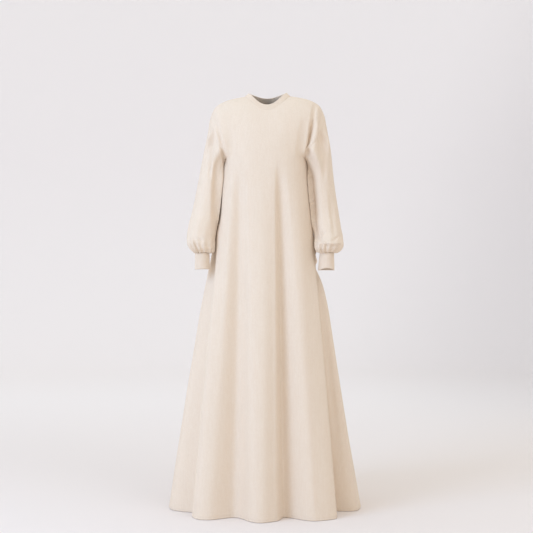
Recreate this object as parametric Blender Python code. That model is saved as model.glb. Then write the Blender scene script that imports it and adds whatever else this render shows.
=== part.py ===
"""Sweater abaya in its worn pose: seven knit pieces, each a closed wall of its true thickness.

Metres, +Z up. The origin lies midway between the points where the shoulder seams meet the
neckline. +X is the wearer's left and the front faces -Y. A panel is worked out in its own
terms: across (from one side seam to the other), ahead (out of the garment) and down.
"""

import bpy
import numpy as np

# Cloth and seams
KNIT = 0.0020                # thickness of the body knit
RIB = 0.0024                 # thickness of the doubled rib in neckband and cuffs
SEAM = 0.0003                # gap left between two pieces where they are sewn

# Heights of a panel, down from the shoulder-neck points
HEM = 1.4110                 # lower edge of the skirt
UNDERARM = 0.232             # where side seam and armhole meet
ARMPIT = 0.216               # where the armhole turns up the front or the back
CHEST = 0.207                # middle of the row that leaves the armpits

# Columns and rows of a panel
COLUMNS = 40                 # across a panel, from side seam to side seam
ARM_COLUMNS = 5              # of these, on each side, end under the arm
SHOULDER_COLUMNS = 8         # end on each shoulder seam
SKIRT_ROWS = 18
YOKE_ROWS = 8
RING_SAMPLES = 241           # points that measure the length round a level section
SIDE_FADE = 0.12             # share of a panel's breadth over which it is eased to its side seam

# Neckline and shoulder seams
NECK_HALF = 0.078            # half the width between the two shoulder-neck points
NECK_ROUND = 1.30            # 1 cuts an oval neckline, more a narrower one
SHOULDER_TILT = 0.012        # the wearer's left shoulder stands slightly higher

# Sleeves, cuffs and neckband
CAP_ROWS = 6                 # from the armhole to the first level section of the sleeve
GATHERS = 13                 # round one wrist
BODY_CLEARANCE = 0.0025      # sleeve to body, where they hang against each other
CUFF_ROWS = 3
BAND_HEIGHT = 0.020
BAND_LEAN = 0.75             # how far the neckband leans in, against its rise
BAND_ROWS = 2


def table(columns, *rows):
    """A short table, as one array of values for each named column."""
    return dict(zip(columns.split(), np.array(rows, dtype=float).T))


# Level sections of the body: half-width, sideways shift of the middle, depth in front of and
# behind the shoulder line, and how square the section is (2 is an ellipse)
BODY = table(
    "down    half    shift    front  back   square",
    (0.2000, 0.1455, -0.0060, 0.117, 0.107, 2.60),
    (0.2600, 0.1440, -0.0078, 0.121, 0.110, 2.55),
    (0.3400, 0.1512, -0.0100, 0.125, 0.113, 2.45),
    (0.4300, 0.1640, -0.0112, 0.132, 0.119, 2.35),
    (0.5500, 0.1842, -0.0117, 0.146, 0.135, 2.25),
    (0.7350, 0.2205, -0.0105, 0.174, 0.166, 2.15),
    (0.8600, 0.2405, -0.0110, 0.193, 0.188, 2.10),
    (1.0100, 0.2650, -0.0120, 0.213, 0.210, 2.05),
    (1.1660, 0.2898, -0.0117, 0.233, 0.230, 2.00),
    (1.3100, 0.3138, -0.0102, 0.250, 0.246, 2.00),
    (1.4110, 0.3298, -0.0089, 0.262, 0.257, 2.00),
)

# Folds that fall from the chest or the hips: where the crest runs (chest_x and hem_x, towards
# the wearer's left), where it starts, how far it stands out at the hem (negative is a valley),
# its breadth at the hem to each side of the crest, and the share of that breadth at its top
FRONT_FOLDS = table(
    "chest_x  hem_x    start  stand   to_right to_left top_share",
    (-0.190, -0.268, 0.430, -0.046, 0.130, 0.045, 0.70),
    (-0.156, -0.212, 0.550, 0.020, 0.060, 0.060, 0.60),
    (-0.085, -0.108, 0.205, -0.044, 0.084, 0.085, 0.36),
    (-0.018, -0.024, 0.240, 0.012, 0.086, 0.060, 0.50),
    (0.042, 0.062, 0.205, -0.018, 0.086, 0.070, 0.40),
    (0.050, 0.078, 0.205, -0.046, 0.048, 0.082, 0.36),
    (0.092, 0.154, 0.250, 0.018, 0.062, 0.072, 0.64),
    (0.134, 0.208, 0.500, 0.020, 0.066, 0.034, 0.64),
    (0.156, 0.260, 0.380, -0.090, 0.050, 0.088, 0.70),
)
BACK_FOLDS = table(
    "chest_x  hem_x    start  stand   to_right to_left top_share",
    (-0.158, -0.256, 0.420, -0.080, 0.080, 0.050, 0.70),
    (-0.118, -0.196, 0.260, 0.028, 0.050, 0.060, 0.60),
    (-0.070, -0.122, 0.220, -0.052, 0.066, 0.044, 0.60),
    (-0.034, -0.050, 0.300, 0.018, 0.050, 0.050, 0.60),
    (0.008, 0.024, 0.240, -0.048, 0.040, 0.072, 0.60),
    (0.060, 0.096, 0.300, 0.020, 0.050, 0.046, 0.60),
    (0.092, 0.146, 0.320, -0.040, 0.044, 0.056, 0.60),
    (0.122, 0.204, 0.300, 0.026, 0.050, 0.060, 0.60),
    (0.160, 0.252, 0.400, -0.082, 0.050, 0.080, 0.70),
)
FOLD_TRACK_TOP = 0.250       # the height at which a fold passes chest_x
FOLD_GROWTH = 0.62           # a fold deepens fastest near its start
FOLD_SETTLE = 0.14           # the height over which it starts

# The ridge of the shoulders, from the middle of the neck hole, which is cut out of it, by the
# shoulder-neck point and along the shoulder seam to the top of the armhole
SHOULDER = table(
    "out     down",
    (0.0000, -0.0090),
    (0.0780, 0.0000),
    (0.1180, 0.0070),
    (0.1390, 0.0125),
    (0.1610, 0.0222),
    (0.1782, 0.0340),
    (0.1885, 0.0495),
    (0.1980, 0.0740),
    (0.2025, 0.0950),
)

# How the yoke's columns arrive at that ridge, as pulls outwards, over the shoulder and up;
# share is 0 at the armhole, and 1 at the middle of the neck
YOKE_ARRIVAL = table(
    "share  out    over   up",
    (0.000, 0.030, 0.195, 0.018),
    (0.270, 0.015, 0.215, 0.014),
    (0.533, 0.000, 0.220, 0.020),
    (1.000, 0.000, 0.210, 0.040),
)
YOKE_CLIMB = table("share climb", (0.000, 0.170), (0.533, 0.200), (1.000, 0.160))
ARMHOLE_FADE = 0.34          # share of the half yoke that the armhole's own curve reaches

FRONT = {
    "side": 1,
    "depth": "front",
    "folds": FRONT_FOLDS,
    "neck_cut": 0.39,
    "armhole_in": -0.030,
    "armhole_ahead": 0.165,
    "armhole_up": 0.035,
}
BACK = {
    "side": -1,
    "depth": "back",
    "folds": BACK_FOLDS,
    "neck_cut": 0.23,
    "armhole_in": -0.010,
    "armhole_ahead": 0.150,
    "armhole_up": 0.035,
}

# Level sections of each sleeve: outermost and innermost reach from the garment's middle, how
# far ahead its middle lies, half its depth, and how deep the gathers are
RIGHT_SLEEVE = table(
    "down    outer   inner   ahead   deep    gather",
    (0.3000, 0.2405, 0.1280, 0.0060, 0.0650, 0.0000),
    (0.3500, 0.2500, 0.1360, 0.0110, 0.0640, 0.0000),
    (0.4000, 0.2600, 0.1450, 0.0220, 0.0620, 0.0000),
    (0.4500, 0.2705, 0.1590, 0.0380, 0.0600, 0.0002),
    (0.4860, 0.2745, 0.1710, 0.0490, 0.0580, 0.0008),
    (0.5070, 0.2720, 0.1755, 0.0565, 0.0555, 0.0024),
    (0.5220, 0.2635, 0.1775, 0.0585, 0.0510, 0.0032),
    (0.5330, 0.2520, 0.1850, 0.0605, 0.0395, 0.0030),
    (0.5382, 0.2485, 0.1955, 0.0620, 0.0325, 0.0016),
)
LEFT_SLEEVE = table(
    "down    outer   inner   ahead   deep    gather",
    (0.3000, 0.2310, 0.1230, -0.0020, 0.0650, 0.0000),
    (0.3500, 0.2380, 0.1300, 0.0020, 0.0630, 0.0000),
    (0.4000, 0.2455, 0.1380, 0.0120, 0.0610, 0.0000),
    (0.4500, 0.2510, 0.1500, 0.0320, 0.0600, 0.0002),
    (0.4860, 0.2565, 0.1590, 0.0490, 0.0580, 0.0008),
    (0.5070, 0.2560, 0.1580, 0.0640, 0.0560, 0.0024),
    (0.5220, 0.2490, 0.1605, 0.0665, 0.0510, 0.0032),
    (0.5330, 0.2365, 0.1670, 0.0690, 0.0395, 0.0030),
    (0.5382, 0.2270, 0.1755, 0.0710, 0.0325, 0.0016),
)

# How the sleeve leaves the armhole, by its share of the way from the top to the underarm: the
# angle that it is bent away from the body's surface, and the strength of its own direction
SLEEVE_START = table(
    "share  bend    pull",
    (0.000, 4.000, 1.000),
    (0.250, 10.00, 0.950),
    (0.500, 44.00, 0.750),
    (0.620, 95.00, 0.650),
    (0.800, 155.0, 0.700),
    (1.000, 174.0, 0.900),
)

# Long soft folds of the sleeves: where each starts and ends, its place round the sleeve at both
# (degrees from the outside towards the front), how far it stands out, and half its breadth
RIGHT_SLEEVE_FOLDS = table(
    "top    bottom top_turn bottom_turn stand   half",
    (0.130, 0.440, 90.00, 140.0, -0.0080, 30.0),
    (0.250, 0.500, 60.00, 72.00, 0.0040, 24.0),
    (0.180, 0.470, 270.0, 240.0, -0.0050, 26.0),
)
LEFT_SLEEVE_FOLDS = table(
    "top    bottom top_turn bottom_turn stand   half",
    (0.260, 0.500, 48.00, 66.00, 0.0040, 26.0),
    (0.200, 0.480, 280.0, 255.0, -0.0050, 26.0),
)

# Level sections of each cuff; lift raises the front of its lower edge
RIGHT_CUFF = table(
    "down    outer   inner   ahead   deep    lift",
    (0.5385, 0.2464, 0.1975, 0.0620, 0.0300, 0.0000),
    (0.5680, 0.2462, 0.1970, 0.0630, 0.0300, 0.0000),
    (0.5960, 0.2466, 0.1965, 0.0640, 0.0300, 0.0015),
)
LEFT_CUFF = table(
    "down    outer   inner   ahead   deep    lift",
    (0.5385, 0.2246, 0.1777, 0.0710, 0.0300, 0.0000),
    (0.5680, 0.2255, 0.1740, 0.0735, 0.0300, 0.0000),
    (0.5990, 0.2262, 0.1715, 0.0760, 0.0300, 0.0070),
)

# Colours
OATMEAL = (0.74, 0.63, 0.53)
OATMEAL_RIB = (0.72, 0.61, 0.51)
KNIT_ROUGHNESS = 0.92


def curve(x, knots, values):
    """Smooth reading of a table's column at x, with no bump between its rows."""
    step = np.diff(knots)
    rise = np.diff(values) / step
    both = rise[:-1] * rise[1:]
    total = np.where(both > 0, rise[:-1] + rise[1:], 1.0)
    middle = np.where(both > 0, 2 * both / total, 0.0)
    slope = np.concatenate([rise[:1], middle, rise[-1:]])
    x = np.clip(x, knots[0], knots[-1])
    i = np.clip(np.searchsorted(knots, x, side="right") - 1, 0, len(step) - 1)
    t = (x - knots[i]) / step[i]
    start = (1 + 2 * t) * (1 - t) ** 2 * values[i] + t * (1 - t) ** 2 * step[i] * slope[i]
    end = t ** 2 * (3 - 2 * t) * values[i + 1] - t ** 2 * (1 - t) * step[i] * slope[i + 1]
    return start + end


def ease(t):
    """0 to 1 with a soft start and end."""
    t = np.clip(t, 0.0, 1.0)
    return t * t * (3 - 2 * t)


def hump(distance, half):
    """A soft fold's profile: 1 on its crest, 0 beyond half its breadth."""
    q = np.clip(np.abs(distance) / half, 0.0, 1.0)
    return np.cos(q * np.pi / 2) ** 2


def unit(vectors):
    return vectors / np.linalg.norm(vectors, axis=-1, keepdims=True)


def hermite(start, leave, end, arrive, t):
    """Points of a cubic from start to end, with its direction given at both."""
    return ((1 + 2 * t) * (1 - t) ** 2 * start + t * (1 - t) ** 2 * leave
            + t ** 2 * (3 - 2 * t) * end - t ** 2 * (1 - t) * arrive)


def ring_point(half, depth, square, turn):
    """A level section's point across and ahead, at an angle from straight ahead."""
    across = np.sin(turn)
    ahead = np.cos(turn)
    radius = (np.abs(across / half) ** square + np.abs(ahead / depth) ** square) ** (-1 / square)
    return radius * across, radius * ahead


def skirt_points(face, share, down):
    """Points of a panel below the arms; share runs from 0 at one side seam to 1 at the other."""
    half, shift, depth, square = [
        curve(down, BODY["down"], BODY[name])[:, None]
        for name in ("half", "shift", face["depth"], "square")
    ]
    turns = np.linspace(-np.pi / 2, np.pi / 2, RING_SAMPLES)
    across, ahead = ring_point(half, depth, square, turns[None, :])
    steps = np.hypot(np.diff(across), np.diff(ahead))
    along = np.concatenate([np.zeros_like(half), np.cumsum(steps, axis=1)], axis=1)
    place = share * along[:, -1]
    turn = np.array([np.interp(p, row, turns) for p, row in zip(place, along)])[:, None]

    nudge = 0.001
    after = np.stack(ring_point(half, depth, square, turn + nudge), axis=-1)
    before = np.stack(ring_point(half, depth, square, turn - nudge), axis=-1)
    sideways = unit(after - before)[:, 0]
    outwards = np.stack([-sideways[:, 1], sideways[:, 0]], axis=-1)

    push = np.zeros_like(place)
    folds = face["folds"]
    track = (down - FOLD_TRACK_TOP) / (HEM - FOLD_TRACK_TOP)
    for i in range(len(folds["start"])):
        fold = {name: folds[name][i] for name in folds}
        reach = np.clip((down - fold["start"]) / (HEM - fold["start"]), 0.0, 1.0)
        crest_x = fold["chest_x"] + (fold["hem_x"] - fold["chest_x"]) * track
        crest = face["side"] * (crest_x - shift[:, 0])
        crest_place = np.array([np.interp(c, a, row) for c, a, row in zip(crest, across, along)])
        world_side = face["side"] * (place - crest_place)
        breadth = np.where(world_side < 0, fold["to_right"], fold["to_left"])
        breadth = breadth * (fold["top_share"] + (1 - fold["top_share"]) * np.clip(track, 0, 1))
        deepened = reach ** FOLD_GROWTH * ease((down - fold["start"]) / FOLD_SETTLE)
        push += fold["stand"] * deepened * hump(place - crest_place, breadth)

    level = np.stack(ring_point(half, depth, square, turn), axis=-1)[:, 0]
    level = level + push[:, None] * outwards
    return np.column_stack([
        level[:, 0] + face["side"] * shift[:, 0],
        level[:, 1],
        -down,
    ])


def armpit_row(share):
    """How far down the row lies that ends a panel's lower part: low only at the side seams."""
    inwards = np.minimum(share, 1 - share)
    arm_share = ARM_COLUMNS / COLUMNS
    under = np.clip(inwards / arm_share, 0, 1)
    chest = ease((inwards - arm_share) / (0.5 - arm_share))
    return UNDERARM + (ARMPIT - UNDERARM) * under ** 1.6 + (CHEST - ARMPIT) * chest


def make_skirts():
    """The rows of both panels below the arms, eased so that they meet at the side seams."""
    share = np.linspace(0, 1, COLUMNS + 1)
    top = armpit_row(share)
    front_rows, back_rows = [
        np.array([
            skirt_points(face, share, HEM + (top - HEM) * row / SKIRT_ROWS)
            for row in range(SKIRT_ROWS + 1)
        ])
        for face in (FRONT, BACK)
    ]
    at_right = 1 - ease(share / SIDE_FADE)
    at_left = at_right[::-1]
    right_step = (front_rows[:, :1, 0] + back_rows[:, -1:, 0]) / 2
    left_step = (front_rows[:, -1:, 0] + back_rows[:, :1, 0]) / 2
    front_rows[:, :, 0] -= right_step * at_right + left_step * at_left
    back_rows[:, :, 0] -= left_step * at_right + right_step * at_left
    return front_rows, back_rows


def shoulder_ridge(face):
    """The ridge's points, one for each yoke column, and how far each column runs up to it."""
    steps = np.hypot(np.diff(SHOULDER["out"]), np.diff(SHOULDER["down"]))
    length = np.concatenate([[0], np.cumsum(steps)])
    seam = np.linspace(length[-1], length[1], SHOULDER_COLUMNS + 1)
    neck_columns = COLUMNS // 2 - ARM_COLUMNS - SHOULDER_COLUMNS
    turn = np.linspace(np.pi / 2, 0, neck_columns + 1)[1:]

    neck_out = NECK_HALF * np.sin(turn)
    out = np.concatenate([curve(seam, length, SHOULDER["out"]), neck_out])
    down = np.concatenate([
        curve(seam, length, SHOULDER["down"]),
        curve(neck_out, SHOULDER["out"], SHOULDER["down"]),
    ])
    run = np.concatenate([np.ones_like(seam), 1 - face["neck_cut"] * np.cos(turn) ** NECK_ROUND])
    half = np.column_stack([-out, np.zeros_like(out), -down])
    ridge = np.vstack([half, half[-2::-1] * (-1, 1, 1)])
    ridge[:, 2] += SHOULDER_TILT * face["side"] * ridge[:, 0]
    return ridge, np.concatenate([run, run[-2::-1]])


def yoke_rows(face, armpits, below):
    """Rows of a panel above its lower part, as cubics from the armpit row towards the ridge."""
    ridge, run = shoulder_ridge(face)
    middle = (len(ridge) - 1) // 2
    place = np.arange(len(ridge))
    share = 1 - np.abs(place - middle) / middle
    outer_side = np.sign(place - middle)

    def column(source, name):
        return curve(share, source["share"], source[name])

    arrive = np.column_stack([
        outer_side * column(YOKE_ARRIVAL, "out"),
        -column(YOKE_ARRIVAL, "over"),
        column(YOKE_ARRIVAL, "up"),
    ])
    climb = unit(armpits - below) * column(YOKE_CLIMB, "climb")[:, None]
    armhole = np.column_stack([
        -outer_side * face["armhole_in"],
        np.full(len(ridge), face["armhole_ahead"]),
        np.full(len(ridge), face["armhole_up"]),
    ])
    near = 1 - ease(share / ARMHOLE_FADE)[:, None]
    leave = climb + (armhole - climb) * near
    return [
        hermite(armpits, leave, ridge, arrive, run[:, None] * row / YOKE_ROWS)
        for row in range(1, YOKE_ROWS + 1)
    ]


def quads(rows, closed=False, flip=False):
    """Faces between rows of point numbers, each row running the same way."""
    faces = []
    for lower, upper in zip(rows[:-1], rows[1:]):
        count = len(lower) if closed else len(lower) - 1
        for i in range(count):
            j = (i + 1) % len(lower)
            face = (lower[i], lower[j], upper[j], upper[i])
            faces.append(face[::-1] if flip else face)
    return faces


def point_normals(points, faces):
    """Outward directions at the points, each face counting by its area."""
    normals = np.zeros_like(points)
    corners = points[np.array(faces)]
    across = np.cross(corners[:, 2] - corners[:, 0], corners[:, 3] - corners[:, 1])
    for corner in range(4):
        np.add.at(normals, np.array(faces)[:, corner], across)
    return unit(normals)


def knit_material(name, colour):
    material = bpy.data.materials.new(name)
    material.use_nodes = True
    shader = material.node_tree.nodes["Principled BSDF"]
    shader.inputs["Base Color"].default_value = (*colour, 1.0)
    shader.inputs["Roughness"].default_value = KNIT_ROUGHNESS
    shader.inputs["Metallic"].default_value = 0.0
    material.diffuse_color = (*colour, 1.0)
    return material


def wall(name, outer, faces, normals, thickness, colour):
    """A sheet of cloth as a closed wall: its outer points, a copy one thickness in, and rims."""
    count = len(outer)
    points = np.vstack([outer, outer - normals * thickness])
    inner_faces = [tuple(i + count for i in reversed(face)) for face in faces]
    edges = {(face[i - 1], face[i]) for face in faces for i in range(len(face))}
    rims = [(b, a, a + count, b + count) for a, b in sorted(edges) if (b, a) not in edges]

    mesh = bpy.data.meshes.new(name)
    mesh.from_pydata(points.tolist(), [], [*faces, *inner_faces, *rims])
    mesh.shade_smooth()
    mesh.set_sharp_from_angle(angle=np.radians(50))
    mesh.materials.append(knit_material(name, colour))
    piece = bpy.data.objects.new(name, mesh)
    bpy.context.scene.collection.objects.link(piece)
    return piece


def make_panel(name, face, skirt):
    """Front or back panel; gives what its neighbours are sewn to."""
    inner = slice(ARM_COLUMNS, COLUMNS + 1 - ARM_COLUMNS)
    yoke = yoke_rows(face, skirt[-1][inner], skirt[-2][inner])

    local = np.vstack([*skirt, *yoke])
    skirt_numbers = np.arange((SKIRT_ROWS + 1) * (COLUMNS + 1)).reshape(SKIRT_ROWS + 1, -1)
    yoke_count = len(yoke[0])
    yoke_numbers = skirt_numbers.size + np.arange(YOKE_ROWS * yoke_count).reshape(YOKE_ROWS, -1)
    yoke_numbers = np.vstack([skirt_numbers[-1, inner], yoke_numbers])
    faces = quads(skirt_numbers.tolist()) + quads(yoke_numbers.tolist())

    side = face["side"]
    points = local * (side, -side, 1) + (0, -side * SEAM / 2, 0)
    normals = point_normals(points, faces)
    shoulder = SHOULDER_COLUMNS + 1
    seam_points = np.concatenate([
        skirt_numbers[:, 0],
        skirt_numbers[:, -1],
        yoke_numbers[-1, :shoulder],
        yoke_numbers[-1, -shoulder:],
    ])
    normals[seam_points, 1] = 0
    normals = unit(normals)
    wall(name, points, faces, normals, KNIT, OATMEAL)

    first = np.concatenate([yoke_numbers[::-1, 0], skirt_numbers[-1, ARM_COLUMNS - 1::-1]])
    last = np.concatenate([yoke_numbers[::-1, -1], skirt_numbers[-1, -ARM_COLUMNS:]])
    first_inside = np.concatenate([yoke_numbers[::-1, 1], skirt_numbers[-2, ARM_COLUMNS - 1::-1]])
    last_inside = np.concatenate([yoke_numbers[::-1, -2], skirt_numbers[-2, -ARM_COLUMNS:]])
    neck = slice(SHOULDER_COLUMNS, yoke_count - SHOULDER_COLUMNS)

    def edge(numbers, inside):
        return points[numbers], normals[numbers], points[numbers] - points[inside]

    return {
        "first_armhole": edge(first, first_inside),
        "last_armhole": edge(last, last_inside),
        "neckline": edge(yoke_numbers[-1, neck], yoke_numbers[-2, neck]),
    }


def join_edges(one, two):
    """Two panels' edges as one closed loop; the points where they meet become one."""
    parts = []
    for a, b in zip(one, two):
        ends = (a[0] + b[-1]) / 2, (a[-1] + b[0]) / 2
        parts.append(np.vstack([ends[0], a[1:-1], ends[1], b[1:-1]]))
    points, normals, away = parts
    along = unit(np.roll(points, -1, axis=0) - np.roll(points, 1, axis=0))
    normals = unit(normals - np.sum(normals * along, axis=1, keepdims=True) * along)
    outwards = unit(np.cross(normals, along))
    outwards *= np.sign(np.sum(outwards * away, axis=1, keepdims=True))
    return points, along, normals, outwards


def body_side(arm, ahead, down):
    """How far out the body reaches at a place beside a sleeve, before any fold."""
    half, shift, front, back, square = [
        curve(down, BODY["down"], BODY[name])
        for name in ("half", "shift", "front", "back", "square")
    ]
    depth = np.where(ahead > 0, front, back)
    rest = np.clip(1 - np.abs(ahead / depth) ** square, 0, 1)
    return half * rest ** (1 / square) + arm * shift


def oval(sections, down, turn):
    """A sleeve's or cuff's level section, outside first and then round by the front."""
    outer, inner, ahead, deep = [
        curve(down, sections["down"], sections[name])
        for name in ("outer", "inner", "ahead", "deep")
    ]
    return np.column_stack([
        (outer + inner) / 2 + (outer - inner) / 2 * np.cos(turn),
        ahead + deep * np.sin(turn),
        np.full_like(turn, -down),
    ])


def sleeve_folds(folds, points, turn):
    """How far each point stands out because of the sleeve's long folds."""
    stand = np.zeros(len(points))
    down = -points[:, 2]
    for i in range(len(folds["top"])):
        fold = {name: folds[name][i] for name in folds}
        run = (down - fold["top"]) / (fold["bottom"] - fold["top"])
        crest = fold["top_turn"] + (fold["bottom_turn"] - fold["top_turn"]) * run
        away = (np.degrees(turn) - crest + 180) % 360 - 180
        swell = np.sin(np.pi * np.clip(run, 0, 1))
        stand += fold["stand"] * swell * hump(away, fold["half"])
    return stand


def make_sleeve(name, arm, sections, folds, armhole):
    """A full sleeve from its armhole to the cuff; arm is 1 on the wearer's left, -1 on the right."""
    points, _, normals, outwards = armhole
    count = len(points)
    place = np.arange(count)
    turn = 2 * np.pi * place / count
    share = 1 - np.abs(place - count / 2) / (count / 2)
    bend = np.radians(curve(share, SLEEVE_START["share"], SLEEVE_START["bend"]))[:, None]
    pull = curve(share, SLEEVE_START["share"], SLEEVE_START["pull"])[:, None]

    leave = np.cos(bend) * outwards + np.sin(bend) * normals
    start_normals = np.cos(bend) * normals - np.sin(bend) * outwards
    gap = np.where(bend < np.pi / 2, outwards, -start_normals)
    start = points + SEAM * gap

    to_world = np.array([arm, -1, 1])
    first = sections["down"][0]
    nudge = 0.005
    end = oval(sections, first, turn) * to_world
    arrive = unit(oval(sections, first + nudge, turn) * to_world - end)
    chord = np.linalg.norm(end - start, axis=1, keepdims=True)
    rows = [
        hermite(start, leave * chord * pull, end, arrive * chord, row / CAP_ROWS)
        for row in range(CAP_ROWS + 1)
    ]
    spread = np.column_stack([np.cos(turn), np.sin(turn), np.zeros(count)]) * to_world
    for down, gather in zip(sections["down"][1:], sections["gather"][1:]):
        uneven = 1 + 0.3 * np.sin(3 * turn + arm)
        wave = gather * uneven * np.cos(GATHERS * turn)
        rows.append(oval(sections, down, turn) * to_world + wave[:, None] * spread)

    for number, row in enumerate(rows[1:-1], start=1):
        row += sleeve_folds(folds, row, turn)[:, None] * spread
        settled = ease(2 * number / CAP_ROWS)
        clear = SEAM + (BODY_CLEARANCE - SEAM) * settled
        limit = body_side(arm, -row[:, 1], -row[:, 2]) + clear
        below = ease((-row[:, 2] - ARMPIT) / (UNDERARM - ARMPIT))
        reach = arm * row[:, 0]
        soft = 0.0015 * settled
        pressed = (reach + limit + np.hypot(reach - limit, soft)) / 2
        row[:, 0] = arm * (reach + (pressed - reach) * below)

    sheet = np.vstack(rows)
    numbers = np.arange(len(sheet)).reshape(len(rows), count).tolist()
    faces = quads(numbers, closed=True, flip=arm < 0)
    sheet_normals = point_normals(sheet, faces)
    sheet_normals[:count] = start_normals
    wall(name, sheet, faces, sheet_normals, KNIT, OATMEAL)


def make_cuff(name, arm, sections, count):
    """A rib cuff, a plain tube below the gathers."""
    turn = 2 * np.pi * np.arange(count) / count
    rows = []
    downs = np.linspace(sections["down"][0], sections["down"][-1], CUFF_ROWS + 1)
    for down in downs:
        row = oval(sections, down, turn) * (arm, -1, 1)
        lift = curve(down, sections["down"], sections["lift"])
        row[:, 2] += lift * np.sin(turn).clip(0) ** 2
        rows.append(row)
    sheet = np.vstack(rows)
    numbers = np.arange(len(sheet)).reshape(len(rows), count).tolist()
    faces = quads(numbers, closed=True, flip=arm < 0)
    normals = point_normals(sheet, faces) * (1, 1, 0)
    wall(name, sheet, faces, unit(normals), RIB, OATMEAL_RIB)


def make_neckband(name, neckline):
    """The rib band that stands on the neckline."""
    points, along, _, outwards = neckline
    inwards = unit(points * (-1, -1, 0))
    rise = unit(inwards * BAND_LEAN + (0, 0, 1))
    band_normals = unit(np.cross(along, rise))
    start = points + SEAM * outwards
    rows = [start + rise * BAND_HEIGHT * row / BAND_ROWS for row in range(BAND_ROWS + 1)]
    sheet = np.vstack(rows)
    numbers = np.arange(len(sheet)).reshape(len(rows), len(points)).tolist()
    faces = quads(numbers, closed=True)
    wall(name, sheet, faces, np.vstack([band_normals] * len(rows)), RIB, OATMEAL_RIB)


def armhole_loop(front_edge, back_edge):
    """From the shoulder down the front to the underarm, and up the back."""
    return join_edges(front_edge, [part[::-1] for part in back_edge])


for old in list(bpy.data.objects):
    bpy.data.objects.remove(old, do_unlink=True)

front_skirt, back_skirt = make_skirts()
front = make_panel("front", FRONT, front_skirt)
back = make_panel("back", BACK, back_skirt)
right_armhole = armhole_loop(front["first_armhole"], back["last_armhole"])
left_armhole = armhole_loop(front["last_armhole"], back["first_armhole"])
make_sleeve("sleeve_right", -1, RIGHT_SLEEVE, RIGHT_SLEEVE_FOLDS, right_armhole)
make_sleeve("sleeve_left", 1, LEFT_SLEEVE, LEFT_SLEEVE_FOLDS, left_armhole)

make_cuff("cuff_right", -1, RIGHT_CUFF, len(right_armhole[0]))
make_cuff("cuff_left", 1, LEFT_CUFF, len(left_armhole[0]))
make_neckband("neckband", join_edges(front["neckline"], back["neckline"]))
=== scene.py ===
"""A long oatmeal knit abaya in its worn form, with full sleeves gathered into rib cuffs.

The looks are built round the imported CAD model, in its own frame: metres, +Z up, the front
faces -Y and +X is the wearer's left. The sections follow the garment as it is put together.
"""

import bpy
import numpy as np
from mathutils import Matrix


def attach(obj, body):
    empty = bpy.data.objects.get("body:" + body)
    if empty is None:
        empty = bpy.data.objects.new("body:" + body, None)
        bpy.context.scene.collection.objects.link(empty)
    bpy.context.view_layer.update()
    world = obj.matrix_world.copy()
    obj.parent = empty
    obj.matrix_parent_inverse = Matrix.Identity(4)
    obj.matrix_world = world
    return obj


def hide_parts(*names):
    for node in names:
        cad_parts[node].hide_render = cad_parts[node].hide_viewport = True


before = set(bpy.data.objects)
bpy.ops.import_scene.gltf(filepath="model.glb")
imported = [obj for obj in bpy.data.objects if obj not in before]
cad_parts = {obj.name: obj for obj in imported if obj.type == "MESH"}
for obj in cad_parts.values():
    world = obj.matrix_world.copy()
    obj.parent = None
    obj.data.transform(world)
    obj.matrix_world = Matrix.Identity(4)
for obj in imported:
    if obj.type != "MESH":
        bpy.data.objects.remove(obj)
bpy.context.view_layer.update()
bpy.ops.object.select_all(action="DESELECT")


# Oatmeal jersey
# Fine-gauge stocking stitch in a heathered oatmeal yarn, lightly brushed so that its fibres
# stand up. The same cloth makes the front, the back and both sleeves, its wales running down.

OATMEAL_LIGHT = (0.880, 0.757, 0.624, 1.0)
OATMEAL = (0.838, 0.700, 0.556, 1.0)
OATMEAL_DARK = (0.757, 0.600, 0.448, 1.0)
KNIT_ROUGHNESS = 0.87
FIBRE_ROUGHNESS = 0.10  # how much the fibres add to that, at most
KNIT_SHEEN = 0.08
KNIT_SHEEN_ROUGHNESS = 0.45
KNIT_SHEEN_TINT = (1.0, 0.955, 0.905, 1.0)
PAINTED_GROOVE_SHADE = 0.90     # painted shade: the colour between the stitches, against the yarn's own
STITCH_SLANT = 0.9      # stitch heights that a leg climbs across half a stitch
STITCH_SWELL = 0.30     # how far a leg thickens and thins on its way
FLECKS = 650.0          # noise cells to the metre, from single fibres to slow patches
MOTTLES = 120.0
PATCHES = 14.0
STREAKS = (190.0, 18.0, 1.0)  # cells to the metre across and along the wales


def new_material(name):
    """A material, its node tree, its shader and the place of each point on the piece."""
    material = bpy.data.materials.new(name)
    material.use_nodes = True
    tree = material.node_tree
    place = tree.nodes.new("ShaderNodeTexCoord").outputs["Object"]
    return material, tree, tree.nodes["Principled BSDF"], place


def shader_group(name, inputs, outputs):
    """An empty node group with its sockets, and the nodes that stand for them."""
    group = bpy.data.node_groups.new(name, "ShaderNodeTree")
    for sockets, direction in ((inputs, "INPUT"), (outputs, "OUTPUT")):
        for label, kind in sockets:
            group.interface.new_socket(label, in_out=direction, socket_type="NodeSocket" + kind)
    given = group.nodes.new("NodeGroupInput")
    result = group.nodes.new("NodeGroupOutput")
    return group, given.outputs, result.inputs


def set_inputs(tree, node, values):
    """Gives a node's inputs, by name or number, a value or a link."""
    for key, value in values.items():
        if isinstance(value, bpy.types.NodeSocket):
            tree.links.new(value, node.inputs[key])
        else:
            node.inputs[key].default_value = value
    return node


def new_node(tree, kind, values, **settings):
    """A node with its settings, and with its inputs set to values or links."""
    node = tree.nodes.new(kind)
    for key, value in settings.items():
        setattr(node, key, value)
    return set_inputs(tree, node, values)


def calculate(tree, operation, *values):
    """The result of a sum on values or links."""
    values = dict(enumerate(values))
    return new_node(tree, "ShaderNodeMath", values, operation=operation).outputs[0]


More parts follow.
